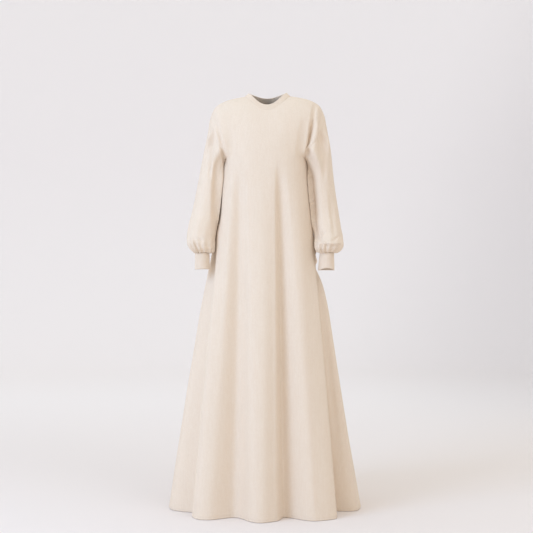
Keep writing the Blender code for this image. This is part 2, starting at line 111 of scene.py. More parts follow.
def cloudy(tree, place, scale, detail=2.0, roughness=0.5):
    """Noise from 0 to 1 at a place, scale cells to the metre."""
    values = {"Vector": place, "Scale": scale, "Detail": detail, "Roughness": roughness}
    return new_node(tree, "ShaderNodeTexNoise", values).outputs["Fac"]


def between(tree, share, low, high):
    """A colour between two others."""
    values = {0: share, 6: low, 7: high}
    return new_node(tree, "ShaderNodeMix", values, data_type="RGBA").outputs[2]


def spread(tree, value, low, high):
    """Stretches the part of a value between low and high to 0 and 1, softly."""
    values = {"Value": value, "From Min": low, "From Max": high}
    node = new_node(tree, "ShaderNodeMapRange", values, interpolation_type="SMOOTHSTEP")
    return node.outputs["Result"]


def coordinates(tree, place):
    """The X, Y and Z of a place, by name."""
    return new_node(tree, "ShaderNodeSeparateXYZ", {0: place}).outputs


def bumped(tree, height, distance, strength, **more):
    """Directions of a surface whose height, 0 to 1, stands out by a distance."""
    values = {"Height": height, "Distance": distance, "Strength": strength, **more}
    return new_node(tree, "ShaderNodeBump", values).outputs[0]


def stitch_group():
    """Stocking stitch: columns of small V-shaped loops. Height is 0 in the grooves, 1 on a leg."""
    group, given, result = shader_group(
        "knit stitches",
        [("Cloth", "Vector"), ("Wale", "Float"), ("Course", "Float")],
        [("Height", "Float")],
    )
    cloth = coordinates(group, given["Cloth"])
    wales = calculate(group, "DIVIDE", cloth["X"], given["Wale"])
    courses = calculate(group, "DIVIDE", cloth["Y"], given["Course"])
    within = calculate(group, "SUBTRACT", calculate(group, "FRACT", wales), 0.5)
    aside = calculate(group, "MULTIPLY", calculate(group, "ABSOLUTE", within), 2.0)
    leg = calculate(group, "SINE", calculate(group, "MULTIPLY", aside, np.pi))
    slant = calculate(group, "ADD", courses, calculate(group, "MULTIPLY", aside, STITCH_SLANT))
    loop = calculate(group, "SINE", calculate(group, "MULTIPLY", slant, 2 * np.pi))
    loop = calculate(group, "MULTIPLY_ADD", loop, STITCH_SWELL, 1 - STITCH_SWELL)
    group.links.new(calculate(group, "MULTIPLY", leg, loop), result["Height"])
    return group


def heather_group():
    """The yarn's mixed fibres: flecks, faint streaks along the wales and slow patches."""
    group, given, result = shader_group(
        "heather",
        [("Cloth", "Vector"), ("Place", "Vector"), ("Light", "Color"), ("Middle", "Color"),
         ("Dark", "Color")],
        [("Color", "Color"), ("Fibres", "Float")],
    )
    flecks = cloudy(group, given["Place"], FLECKS, detail=3.0, roughness=0.7)
    streaks = new_node(group, "ShaderNodeVectorMath", {0: given["Cloth"], 1: STREAKS},
                       operation="MULTIPLY").outputs[0]
    streaks = cloudy(group, streaks, 1.0)
    mottles = cloudy(group, given["Place"], MOTTLES)
    patches = cloudy(group, given["Place"], PATCHES, detail=3.0)
    lifted = calculate(group, "MULTIPLY", spread(group, flecks, 0.35, 0.75), 0.45)
    for value, low, high, share in ((streaks, 0.35, 0.65, 0.34), (mottles, 0.35, 0.65, 0.26),
                                    (patches, 0.30, 0.70, 0.12)):
        value = spread(group, value, low, high)
        lifted = calculate(group, "MULTIPLY_ADD", value, share, lifted)
    sunk = between(group, spread(group, flecks, 0.25, 0.42), given["Dark"], given["Middle"])
    group.links.new(between(group, lifted, sunk, given["Light"]), result["Color"])
    group.links.new(flecks, result["Fibres"])
    return group


KNIT_STITCHES = stitch_group()
HEATHER = heather_group()


def knit_cloth(name, wale, course, stitch_depth, nap_depth):
    """A knit of stitches as wide as wale and as high as course, which follow the piece's UV map."""
    material, tree, shader, place = new_material(name)
    cloth = new_node(tree, "ShaderNodeUVMap", {}, uv_map="cloth").outputs[0]
    colours = {"Light": OATMEAL_LIGHT, "Middle": OATMEAL, "Dark": OATMEAL_DARK}
    yarn = new_node(tree, "ShaderNodeGroup", {"Cloth": cloth, "Place": place, **colours},
                    node_tree=HEATHER).outputs
    stitch = new_node(tree, "ShaderNodeGroup", {"Cloth": cloth, "Wale": wale, "Course": course},
                      node_tree=KNIT_STITCHES).outputs["Height"]
    # Painted shade: the base colour darkens in the grooves between the stitch legs, where their
    # height is low.
    painted_groove_shade = tuple(PAINTED_GROOVE_SHADE * c for c in OATMEAL[:3]) + (1.0,)
    nap = bumped(tree, yarn["Fibres"], nap_depth, strength=0.6)
    set_inputs(tree, shader, {
        "Base Color": between(tree, spread(tree, stitch, 0.0, 0.35), painted_groove_shade, yarn["Color"]),
        "Roughness": calculate(tree, "MULTIPLY_ADD", yarn["Fibres"], FIBRE_ROUGHNESS,
                               KNIT_ROUGHNESS),
        "Normal": bumped(tree, stitch, stitch_depth, strength=0.5, Normal=nap),
        "Sheen Weight": KNIT_SHEEN,
        "Sheen Roughness": KNIT_SHEEN_ROUGHNESS,
        "Sheen Tint": KNIT_SHEEN_TINT,
        "Specular IOR Level": 0.15,
    })
    return material


JERSEY = knit_cloth("oatmeal jersey", wale=0.0014, course=0.0011, stitch_depth=0.00030,
                    nap_depth=0.00045)


# Front and back panels
# Two panels of the jersey, each cut in one piece from the shoulder to the hem. They widen all
# the way down, so that the skirt falls from the chest and the hips in soft deep folds.

JERSEY_THICKNESS = 0.0020
PANEL_GAP = 0.00005     # between the edges of two pieces that are sewn together

HEM = 1.4110            # heights are measured down from the shoulder-neck points
UNDERARM = 0.232        # where side seam and armhole meet
ARMPIT = 0.216          # where the armhole turns up the front or the back
CHEST = 0.207           # middle of the row that leaves the armpits

ARM_COLUMNS = 25        # at each side of a panel, ending under the arm
SHOULDER_COLUMNS = 40   # ending on each shoulder seam
NECK_COLUMNS = 35       # ending on each half of the neckline
SKIRT_ROWS = 172
YOKE_ROWS = 56
RING_SAMPLES = 481      # points that measure the length round a level section
NUDGE = 0.001           # small step, in radians, that finds a section's direction
CORNER_REACH = 12       # columns that are evened out to each side of a shoulder-neck point
CORNER_PASSES = 60
CORNER_FADE = 3         # the evening out fades over the last 1 / 3 of a column
UNDERARM_SWEEP = 1.6    # 1 runs the armpit row straight up from the side seam, more bends it
SHARPEST_BEND = 50      # degrees between faces up to which the cloth looks round
RIM_PARTS = 12          # parts in which a panel's rim is measured, to save memory
SIDE_FADE = 0.12        # share of a panel's breadth over which it is eased to its side seam

NECK_HALF = 0.078       # half the width between the two shoulder-neck points
NECK_ROUND = 1.30       # 1 cuts an oval neckline, more a narrower one
SHOULDER_TILT = 0.012   # the wearer's left shoulder stands slightly higher

# The hem is turned up and stitched near its edge: heights above the edge, and how far the
# cloth stands out there
HEM_TURN = np.array([
    (0.0000, -0.0004), (0.0010, 0.0004), (0.0026, 0.0007), (0.0044, 0.0006), (0.0056, 0.0001),
    (0.0064, -0.0004), (0.0072, 0.0000), (0.0090, 0.0003), (0.0130, 0.0004),
])
STITCHED_ROW = 5        # of these, the one that the stitching holds in
SEAM_ROLL = 0.0005      # how deep the cloth dips into a seam
SEAM_ROLL_BREADTH = 0.0035


def table(columns, *rows):
    """A short table, as one array of values for each named column."""
    return dict(zip(columns.split(), np.array(rows, dtype=float).T))


# Level sections of the body: half-width, sideways shift of the middle, depth in front of and
# behind the shoulder line, and how square the section is (2 is an ellipse)
BODY = table(
    "down   half    shift    front  back   square",
    (0.200, 0.1455, -0.0060, 0.117, 0.107, 2.60),
    (0.260, 0.1440, -0.0078, 0.121, 0.110, 2.55),
    (0.340, 0.1512, -0.0100, 0.125, 0.113, 2.45),
    (0.430, 0.1640, -0.0112, 0.132, 0.119, 2.35),
    (0.550, 0.1842, -0.0117, 0.146, 0.135, 2.25),
    (0.735, 0.2205, -0.0105, 0.174, 0.166, 2.15),
    (0.860, 0.2405, -0.0110, 0.193, 0.188, 2.10),
    (1.010, 0.2650, -0.0120, 0.213, 0.210, 2.05),
    (1.166, 0.2898, -0.0117, 0.233, 0.230, 2.00),
    (1.310, 0.3138, -0.0102, 0.250, 0.246, 2.00),
    (1.411, 0.3298, -0.0089, 0.262, 0.257, 2.00),
)

# Folds that fall from the chest or the hips: where the crest runs (chest_x and hem_x, towards
# the wearer's left), where it starts, how far it stands out at the hem (negative is a valley),
# its breadth at the hem to each side of the crest, and the share of that breadth at its top
FRONT_FOLDS = table(
    "chest_x hem_x   start  stand   to_right to_left top_share",
    (-0.156, -0.276, 0.430, -0.046, 0.110, 0.045, 0.70),
    (-0.156, -0.212, 0.550, 0.020, 0.060, 0.060, 0.60),
    (-0.097, -0.122, 0.205, -0.055, 0.074, 0.096, 0.36),
    (-0.018, -0.024, 0.240, 0.012, 0.086, 0.060, 0.50),
    (0.042, 0.062, 0.205, -0.018, 0.086, 0.070, 0.40),
    (0.038, 0.069, 0.205, -0.046, 0.042, 0.088, 0.36),
    (0.092, 0.154, 0.250, 0.018, 0.062, 0.072, 0.64),
    (0.134, 0.208, 0.500, 0.020, 0.066, 0.034, 0.64),
    (0.141, 0.260, 0.380, -0.090, 0.050, 0.088, 0.70),
)
BACK_FOLDS = table(
    "chest_x hem_x   start stand   to_right to_left top_share",
    (-0.158, -0.256, 0.42, -0.080, 0.080, 0.050, 0.7),
    (-0.118, -0.196, 0.26, 0.028, 0.050, 0.060, 0.6),
    (-0.070, -0.122, 0.22, -0.052, 0.066, 0.044, 0.6),
    (-0.034, -0.050, 0.30, 0.018, 0.050, 0.050, 0.6),
    (0.008, 0.024, 0.24, -0.048, 0.040, 0.072, 0.6),
    (0.060, 0.096, 0.30, 0.020, 0.050, 0.046, 0.6),
    (0.092, 0.146, 0.32, -0.040, 0.044, 0.056, 0.6),
    (0.122, 0.204, 0.30, 0.026, 0.050, 0.060, 0.6),
    (0.148, 0.252, 0.40, -0.082, 0.050, 0.080, 0.7),
)
FOLD_TRACK_TOP = 0.250  # the height at which a fold passes chest_x
FOLD_GROWTH = 0.62      # a fold deepens fastest near its start
FOLD_SETTLE = 0.14      # the height over which it starts

# The ridge of the shoulders, from the middle of the neck hole, which is cut out of it, by the
# shoulder-neck point and along the shoulder seam to the top of the armhole
SHOULDER = table(
    "out     down",
    (0.0000, -0.0090),
    (0.0780, 0.0000),
    (0.1180, 0.0070),
    (0.1390, 0.0125),
    (0.1610, 0.0222),
    (0.1782, 0.0340),
    (0.1885, 0.0495),
    (0.1980, 0.0740),
    (0.2025, 0.0950),
)

# How the yoke's columns arrive at that ridge, as pulls outwards, over the shoulder and up; share
# is 0 at the armhole and 1 at the middle of the neck
YOKE_ARRIVAL = table(
    "share  out    over   up",
    (0.000, 0.030, 0.195, 0.018),
    (0.270, 0.015, 0.215, 0.014),
    (0.533, 0.000, 0.220, 0.020),
    (1.000, 0.000, 0.210, 0.040),
)

# How strongly they leave the armpit row, upwards
YOKE_CLIMB = table("share climb", (0.000, 0.170), (0.533, 0.200), (1.000, 0.160))
ARMHOLE_FADE = 0.34     # share of the half yoke that the armhole's own curve reaches

# Creases of the panels and the sleeves, as soft troughs (negative) and ridges, placed in the view
# from in front or from behind: each runs from from_x, from_down to to_x, to_down and bows
# sideways by bow; half is half its breadth. They fade out where the cloth turns from that view.
CREASE_FACING = 0.35
CREASE_ENDS = 0.8       # 1 fades a crease like a wave towards its ends, less keeps it longer
FRONT_CREASES = table(
    "from_x   from_down to_x     to_down bow     stand    half",
    (-0.1800, 0.080, -0.1950, 0.295, 0.006, -0.0125, 0.0100),
    (-0.1720, 0.190, -0.1740, 0.470, 0.000, -0.0120, 0.0230),
    (-0.1810, 0.075, -0.1380, 0.262, -0.001, -0.0080, 0.0095),
    (-0.1560, 0.135, -0.1250, 0.240, -0.004, 0.0018, 0.0130),
    (0.1380, 0.085, 0.1200, 0.250, -0.002, -0.0080, 0.0360),
    (0.1640, 0.025, 0.1345, 0.225, 0.000, -0.0110, 0.0120),
    (0.1595, 0.080, 0.1380, 0.215, 0.000, -0.0150, 0.0150),
    (0.1870, 0.045, 0.1760, 0.230, 0.001, -0.0080, 0.0120),
    (0.1990, 0.090, 0.2030, 0.310, 0.000, 0.0090, 0.0125),
    (0.1880, 0.700, 0.2430, 1.250, 0.000, -0.0045, 0.0160),
    (0.0245, 0.450, 0.0250, 1.440, 0.000, 0.0007, 0.0060),
)
BACK_CREASES = table(
    "from_x  from_down to_x    to_down bow     stand    half",
    (-0.190, 0.110, -0.178, 0.390, -0.004, -0.0046, 0.0120),
    (-0.156, 0.056, -0.130, 0.270, 0.002, -0.0090, 0.0125),
    (-0.118, 0.150, -0.106, 0.330, -0.004, -0.0026, 0.0120),
    (-0.030, 0.055, -0.018, 0.210, 0.003, -0.0018, 0.0150),
    (0.034, 0.060, 0.030, 0.260, -0.003, -0.0016, 0.0160),
    (0.112, 0.170, 0.100, 0.390, 0.004, 0.0024, 0.0150),
    (0.160, 0.060, 0.133, 0.265, -0.003, -0.0075, 0.0120),
    (0.192, 0.100, 0.186, 0.410, 0.004, -0.0046, 0.0120),
)

# Where the panels differ: side is the way that they face, neck_cut how far the neckline cuts into
# the yoke, and armhole the pulls outwards, ahead and up of the cloth that leaves the armpit
FRONT = {"node": "front", "side": 1, "folds": FRONT_FOLDS, "neck_cut": 0.39,
         "armhole": (0.030, 0.165, 0.035), "flat": (0.96, 1.46), "flat_area": 1.10}
BACK = {"node": "back", "side": -1, "folds": BACK_FOLDS, "neck_cut": 0.23,
        "armhole": (0.010, 0.150, 0.035), "flat": (0.96, 1.48), "flat_area": 1.12}


def each_row(rows):
    """The rows of a table, each with its values by name."""
    return [dict(zip(rows, values)) for values in zip(*rows.values())]


def hermite(start, leave, end, arrive, t):
    """Points of a cubic from start to end, with its direction given at both."""
    return ((1 + 2 * t) * (1 - t) ** 2 * start + t * (1 - t) ** 2 * leave
            + t ** 2 * (3 - 2 * t) * end - t ** 2 * (1 - t) * arrive)


def curve(x, knots, values):
    """Smooth reading of values at x, with no bump between the knots."""
    step = np.diff(knots)
    rise = np.diff(values) / step
    both = rise[:-1] * rise[1:]
    total = np.where(both > 0, rise[:-1] + rise[1:], 1.0)
    middle = np.where(both > 0, 2 * both / total, 0.0)
    slope = np.concatenate([rise[:1], middle, rise[-1:]])
    x = np.clip(x, knots[0], knots[-1])
    i = np.clip(np.searchsorted(knots, x, side="right") - 1, 0, len(step) - 1)
    t = (x - knots[i]) / step[i]
    return hermite(values[i], step[i] * slope[i], values[i + 1], step[i] * slope[i + 1], t)


def read(source, x, *names):
    """Smooth readings of a table's columns, where its first column is x."""
    knots = next(iter(source.values()))
    return [curve(x, knots, source[name]) for name in names]


def ease(t):
    """0 to 1 with a soft start and end."""
    t = np.clip(t, 0.0, 1.0)
    return t * t * (3 - 2 * t)


def hump(distance, half):
    """A soft fold's profile: 1 on its crest, 0 beyond half its breadth."""
    q = np.clip(np.abs(distance) / half, 0.0, 1.0)
    return np.cos(q * np.pi / 2) ** 2


def unit(vectors):
    return vectors / np.linalg.norm(vectors, axis=-1, keepdims=True)


def ring_point(half, depth, square, turn):
    """A level section's point across and ahead, at an angle from straight ahead."""
    across = np.sin(turn)
    ahead = np.cos(turn)
    radius = (np.abs(across / half) ** square + np.abs(ahead / depth) ** square) ** (-1 / square)
    return radius * across, radius * ahead


def skirt_points(face, share, down):
    """Points of a panel below the arms; share runs from 0 at one side seam to 1 at the other."""
    readings = read(BODY, down, "half", "shift", face["node"], "square")
    half, shift, depth, square = [reading[:, None] for reading in readings]
    turns = np.linspace(-np.pi / 2, np.pi / 2, RING_SAMPLES)
    across, ahead = ring_point(half, depth, square, turns)
    steps = np.hypot(np.diff(across), np.diff(ahead))
    along = np.concatenate([np.zeros_like(half), np.cumsum(steps, axis=1)], axis=1)
    place = share * along[:, -1]
    turn = np.array([np.interp(p, row, turns) for p, row in zip(place, along)])[:, None]

    after = np.stack(ring_point(half, depth, square, turn + NUDGE), axis=-1)
    before = np.stack(ring_point(half, depth, square, turn - NUDGE), axis=-1)
    sideways = unit(after - before)[:, 0]
    outwards = np.stack([-sideways[:, 1], sideways[:, 0]], axis=-1)

    push = np.zeros_like(place)
    track = (down - FOLD_TRACK_TOP) / (HEM - FOLD_TRACK_TOP)
    for fold in each_row(face["folds"]):
        reach = np.clip((down - fold["start"]) / (HEM - fold["start"]), 0.0, 1.0)
        if not reach.any():
            continue
        crest_x = fold["chest_x"] + (fold["hem_x"] - fold["chest_x"]) * track
        crest = face["side"] * (crest_x - shift[:, 0])
        crest_place = np.array([np.interp(c, a, row) for c, a, row in zip(crest, across, along)])
        world_side = face["side"] * (place - crest_place)
        breadth = np.where(world_side < 0, fold["to_right"], fold["to_left"])
        breadth = breadth * (fold["top_share"] + (1 - fold["top_share"]) * np.clip(track, 0, 1))
        deepened = reach ** FOLD_GROWTH * ease((down - fold["start"]) / FOLD_SETTLE)
        push += fold["stand"] * deepened * hump(place - crest_place, breadth)

    level = np.stack(ring_point(half, depth, square, turn), axis=-1)[:, 0]
    level = level + push[:, None] * outwards
    return np.column_stack([level[:, 0] + face["side"] * shift[:, 0], level[:, 1], -down])


def armpit_row(share):
    """How far down the row lies that ends a panel's lower part: low only at the side seams."""
    inwards = np.minimum(share, 1 - share)
    arm_share = ARM_COLUMNS / (len(share) - 1)
    under = np.clip(inwards / arm_share, 0, 1)
    chest = ease((inwards - arm_share) / (0.5 - arm_share))
    return UNDERARM + (ARMPIT - UNDERARM) * under ** UNDERARM_SWEEP + (CHEST - ARMPIT) * chest


def make_skirts():
    """The rows of both panels below the arms, eased so that they meet at the side seams."""
    share = np.linspace(0, 1, 2 * (ARM_COLUMNS + SHOULDER_COLUMNS + NECK_COLUMNS) + 1)
    top = armpit_row(share)
    turned = HEM_TURN[:, 0] / (HEM - UNDERARM)
    climbs = np.concatenate([turned, np.linspace(turned[-1], 1, SKIRT_ROWS)[1:]])
    front_rows, back_rows = [
        np.array([skirt_points(face, share, HEM + (top - HEM) * c) for c in climbs])
        for face in (FRONT, BACK)
    ]
    at_right = 1 - ease(share / SIDE_FADE)
    at_left = at_right[::-1]
    right_step = (front_rows[:, :1, 0] + back_rows[:, -1:, 0]) / 2
    left_step = (front_rows[:, -1:, 0] + back_rows[:, :1, 0]) / 2
    front_rows[:, :, 0] -= right_step * at_right + left_step * at_left
    back_rows[:, :, 0] -= left_step * at_right + right_step * at_left
    return front_rows, back_rows


def shoulder_ridge(face):
    """The ridge's points, one for each yoke column, and how far each column runs up to it."""
    steps = np.hypot(np.diff(SHOULDER["out"]), np.diff(SHOULDER["down"]))
    length = np.concatenate([[0], np.cumsum(steps)])
    seam = np.linspace(length[-1], length[1], SHOULDER_COLUMNS + 1)
    turn = np.linspace(np.pi / 2, 0, NECK_COLUMNS + 1)[1:]

    neck_out = NECK_HALF * np.sin(turn)
    out = np.concatenate([curve(seam, length, SHOULDER["out"]), neck_out])
    neck_down = read(SHOULDER, neck_out, "down")[0]
    down = np.concatenate([curve(seam, length, SHOULDER["down"]), neck_down])
    run = np.concatenate([np.ones_like(seam), 1 - face["neck_cut"] * np.cos(turn) ** NECK_ROUND])
    half = np.column_stack([-out, np.zeros_like(out), -down])
    ridge = np.vstack([half, half[-2::-1] * (-1, 1, 1)])
    ridge[:, 2] += SHOULDER_TILT * face["side"] * ridge[:, 0]
    return ridge, np.concatenate([run, run[-2::-1]])


def yoke_rows(face, armpits, below):
    """Rows of a panel above its lower part, as cubics from the armpit row towards the ridge."""
    ridge, run = shoulder_ridge(face)
    middle = (len(ridge) - 1) // 2
    place = np.arange(len(ridge))
    share = 1 - np.abs(place - middle) / middle
    outer_side = np.sign(place - middle)
    out, over, up = read(YOKE_ARRIVAL, share, "out", "over", "up")
    arrive = np.column_stack([outer_side * out, -over, up])
    climb = unit(armpits - below) * read(YOKE_CLIMB, share, "climb")[0][:, None]
    armhole = np.tile(face["armhole"], (len(ridge), 1))
    armhole[:, 0] *= outer_side
    near = 1 - ease(share / ARMHOLE_FADE)[:, None]
    leave = climb + (armhole - climb) * near
    return [
        hermite(armpits, leave, ridge, arrive, run[:, None] * row / YOKE_ROWS)
        for row in range(1, YOKE_ROWS + 1)
    ]


def even_out(rows, corner):
    """Smooths the columns beside a shoulder-neck point, so that no line runs down from it."""
    beside = np.arange(corner - CORNER_REACH, corner + CORNER_REACH + 1)
    share = hump(beside - corner, CORNER_REACH)[:, None]
    up = np.arange(1, len(rows)) / len(rows)
    held = 1 - ease(up * CORNER_FADE - (CORNER_FADE - 1))[:, None, None]
    for _ in range(CORNER_PASSES):
        near = rows[:-1, beside]
        middle = (rows[:-1, beside - 1] + rows[:-1, beside + 1]) / 2
        rows[:-1, beside] = near + (middle - near) * share * held


def quads(rows, closed=False, flip=False):
    """Faces between rows of point numbers, each row running the same way."""
    rows = np.asarray(rows)
    if closed:
        rows = np.hstack([rows, rows[:, :1]])
    corners = [rows[:-1, :-1], rows[:-1, 1:], rows[1:, 1:], rows[1:, :-1]]
    faces = np.stack([c.ravel() for c in corners], axis=1)
    return faces[:, ::-1] if flip else faces


def numbered(rows, first=0):
    """The numbers of the points in these rows."""
    return first + np.arange(rows[..., 0].size).reshape(rows.shape[:-1])


def point_normals(points, faces):
    """Outward directions at the points, each face counting by its area."""
    normals = np.zeros_like(points)
    corners = points[faces]
    across = np.cross(corners[:, 2] - corners[:, 0], corners[:, 3] - corners[:, 1])
    for corner in range(4):
        np.add.at(normals, faces[:, corner], across)
    return unit(normals)


def crease(points, facing, creases):
    """How far each point stands out because of creases placed in the view from one side."""
    stand = np.zeros(len(points))
    for c in each_row(creases):
        start = np.array([c["from_x"], -c["from_down"]])
        run = np.array([c["to_x"], -c["to_down"]]) - start
        length = np.linalg.norm(run)
        offset = points[:, [0, 2]] - start
        t = offset @ run / length ** 2
        aside = (offset[:, 0] * run[1] - offset[:, 1] * run[0]) / length
        aside = aside - c["bow"] * 4 * t * (1 - t)
        ends = np.sin(np.pi * np.clip(t, 0, 1)) ** CREASE_ENDS
        stand += c["stand"] * ends * hump(aside, c["half"])
    return stand * ease(facing / CREASE_FACING)


def body_creases(points, normals):
    """How far each point stands out because of the creases in front and behind."""
    ahead = -normals[:, 1]
    return crease(points, ahead, FRONT_CREASES) + crease(points, -ahead, BACK_CREASES)


def along_line(places, lengths, line):
    """A line of points or directions, read at places that are measured along it."""
    return np.column_stack([np.interp(places, lengths, line[:, axis]) for axis in range(3)])


def new_object(name, data):
    """An object of a mesh, a light or a camera, in the scene."""
    made = bpy.data.objects.new(name, data)
    bpy.context.scene.collection.objects.link(made)
    return made


def new_piece(name, points, faces, material, cloth=None):
    """A mesh object of these points and faces; cloth gives each point's UVs, in metres."""
    mesh = bpy.data.meshes.new(name)
    mesh.from_pydata(points.tolist(), [], faces)
    if cloth is not None:
        corners = cloth[np.ravel(faces)].astype(np.float32)
        mesh.uv_layers.new(name="cloth").data.foreach_set("uv", corners.ravel())
    mesh.shade_smooth()
    mesh.materials.append(material)
    return new_object(name, mesh)


def sew_sheet(name, node, points, faces, cloth):
    """A sheet of jersey as a closed wall, with its outer face at the points."""
    piece = new_piece(name, points, faces.tolist(), JERSEY, cloth)
    bpy.context.view_layer.objects.active = piece
    piece.select_set(True)
    wall = piece.modifiers.new("cloth thickness", "SOLIDIFY")
    wall.thickness = JERSEY_THICKNESS
    wall.offset = -1
    bpy.ops.object.modifier_apply(modifier=wall.name)
    bpy.ops.object.shade_smooth_by_angle(angle=np.radians(SHARPEST_BEND))
    bpy.ops.object.select_all(action="DESELECT")
    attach(piece, "root")
    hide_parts(node)
    return piece


def lengths_along(rows):
    """Lengths from the first row of points to each of the others, along the cloth."""
    steps = np.linalg.norm(np.diff(rows, axis=0), axis=-1)
    return np.concatenate([np.zeros((1, rows.shape[1])), np.cumsum(steps, axis=0)])


def make_panel(face, skirt):
    """Front or back panel; gives what its neighbours are sewn to."""
    side = face["side"]
    inner = slice(ARM_COLUMNS, skirt.shape[1] - ARM_COLUMNS)
    yoke = np.array(yoke_rows(face, skirt[-1][inner], skirt[-2][inner]))
    for corner in (SHOULDER_COLUMNS, yoke.shape[1] - 1 - SHOULDER_COLUMNS):
        even_out(yoke, corner)

    skirt_ids = numbered(skirt)
    yoke_ids = numbered(yoke, skirt_ids.size)
    whole_yoke = np.vstack([skirt_ids[-1:, inner], yoke_ids])
    faces = np.vstack([quads(skirt_ids), quads(whole_yoke)])
    points = np.vstack([skirt.reshape(-1, 3), yoke.reshape(-1, 3)]) * (side, -side, 1)
    points = points - (0, side * PANEL_GAP / 2, 0)

    normals = point_normals(points, faces)
    points = points + body_creases(points, normals)[:, None] * normals
    stand = np.zeros(len(points))
    stand[skirt_ids[:len(HEM_TURN)]] = HEM_TURN[:, 1:]
    edges = [skirt_ids[:, 0], skirt_ids[:, -1], yoke_ids[:, 0], yoke_ids[:, -1], yoke_ids[-1],
             skirt_ids[-1, :ARM_COLUMNS + 1], skirt_ids[-1, -ARM_COLUMNS - 1:]]
    rim = points[np.concatenate(edges)]
    near = np.min([
        np.linalg.norm(points[:, None] - part, axis=-1).min(axis=1)
        for part in np.array_split(rim, RIM_PARTS)
    ], axis=0)
    stand -= SEAM_ROLL * np.exp(-(near / SEAM_ROLL_BREADTH) ** 2)
    points = points + stand[:, None] * point_normals(points, faces)

    down_skirt = lengths_along(points[skirt_ids[::-1]])[::-1]
    up_yoke = lengths_along(points[whole_yoke])[1:]
    across = []
    for numbers in (skirt_ids, yoke_ids):
        run = lengths_along(points[numbers].transpose(1, 0, 2)).T
        across.append((run - run[:, run.shape[1] // 2, None]).ravel())
    up = np.concatenate([-down_skirt.ravel(), up_yoke.ravel()])
    cloth = np.column_stack([np.concatenate(across), up])
    panel = sew_sheet(face["node"] + "_panel", face["node"], points, faces, cloth)

    first = np.concatenate([yoke_ids[::-1, 0], skirt_ids[-1, ARM_COLUMNS::-1]])
    last = np.concatenate([yoke_ids[::-1, -1], skirt_ids[-1, -ARM_COLUMNS - 1:]])
    beside = np.concatenate([yoke_ids[::-1, 1], skirt_ids[-2, ARM_COLUMNS::-1]])
    beside_last = np.concatenate([yoke_ids[::-1, -2], skirt_ids[-2, -ARM_COLUMNS - 1:]])
    neck = slice(SHOULDER_COLUMNS, yoke_ids.shape[1] - SHOULDER_COLUMNS)
    normals = point_normals(points, faces)

    def edge(numbers, inside):
        return points[numbers], normals[numbers], points[numbers] - points[inside]

    return {
        "panel": panel,
        "first_armhole": edge(first, beside),
        "last_armhole": edge(last, beside_last),
        "neckline": edge(yoke_ids[-1, neck], yoke_ids[-2, neck]),
        "hem_line": edge(skirt_ids[STITCHED_ROW], skirt_ids[STITCHED_ROW + 1]),
    }


front_skirt, back_skirt = make_skirts()
front = make_panel(FRONT, front_skirt)
back = make_panel(BACK, back_skirt)


# Sleeves
# Two full sleeves set into the dropped armholes. Each is cut wide at the wrist, where it is
# drawn up into uneven gathers above its cuff, so that it blouses out and folds over.

CAP_ROWS = 34           # from the armhole to the first level section
ARM_ROWS = 92           # from there to the cuff
ARRIVAL_DROP = 0.005    # height over which the sleeve's way down is read at that section
BODY_CLEARANCE = 0.001  # sleeve to body, where they hang against each other
BODY_SOFTNESS = 0.0015  # how softly the sleeve bends where it meets the body
CAD_YOKE_SHARE = 8 / 13  # of the half armhole, the part that lies on the yoke
SETTLED_ROWS = 84       # from the armhole, as far as the cloth is evened out
SETTLE_PASSES = 120
GATHERS = 13
GATHER_UNEVEN = 0.5     # how much deeper or shallower than their mean the gathers are
GATHER_CROWDING = 1.4   # how far some gathers crowd together, in radians of their wave
GATHER_DROOP = 0.8      # how far the gathers hang over the cuff, against their depth

# Level sections of each sleeve: outermost and innermost reach from the garment's middle, how
# far ahead its middle lies, half its depth, and how deep the gathers are
RIGHT_SLEEVE = table(
    "down    outer   inner   ahead   deep    gather",
    (0.3000, 0.2405, 0.1280, 0.0060, 0.0650, 0.0000),
    (0.3500, 0.2500, 0.1360, 0.0110, 0.0640, 0.0000),
    (0.4000, 0.2600, 0.1475, 0.0220, 0.0620, 0.0000),
    (0.4500, 0.2705, 0.1680, 0.0380, 0.0600, 0.0002),
    (0.4860, 0.2745, 0.1770, 0.0490, 0.0580, 0.0008),
    (0.5070, 0.2720, 0.1795, 0.0565, 0.0555, 0.0024),
    (0.5220, 0.2635, 0.1810, 0.0585, 0.0510, 0.0032),
    (0.5330, 0.2520, 0.1850, 0.0605, 0.0395, 0.0030),
    (0.5382, 0.2485, 0.1955, 0.0620, 0.0325, 0.0016),
)
LEFT_SLEEVE = table(
    "down    outer   inner   ahead    deep    gather",
    (0.3000, 0.2310, 0.1230, -0.0020, 0.0650, 0.0000),
    (0.3500, 0.2380, 0.1300, 0.0020, 0.0630, 0.0000),
    (0.4000, 0.2455, 0.1380, 0.0120, 0.0610, 0.0000),
    (0.4500, 0.2510, 0.1500, 0.0320, 0.0600, 0.0002),
    (0.4860, 0.2565, 0.1590, 0.0490, 0.0580, 0.0008),
    (0.5070, 0.2560, 0.1580, 0.0640, 0.0560, 0.0024),
    (0.5220, 0.2490, 0.1605, 0.0665, 0.0510, 0.0032),
    (0.5330, 0.2365, 0.1670, 0.0690, 0.0395, 0.0030),
    (0.5382, 0.2270, 0.1755, 0.0710, 0.0325, 0.0016),
)

# How the sleeve leaves the armhole, by its share of the way from the top to the underarm: the
# angle that it is bent away from the body's surface, and the strength of its own direction
SLEEVE_START = table(
    "share bend   pull",
    (0.00, 4.0, 1.00),
    (0.25, 10.0, 0.95),
    (0.50, 44.0, 0.75),
    (0.62, 95.0, 0.65),
    (0.80, 155.0, 0.70),
    (1.00, 174.0, 0.90),
)

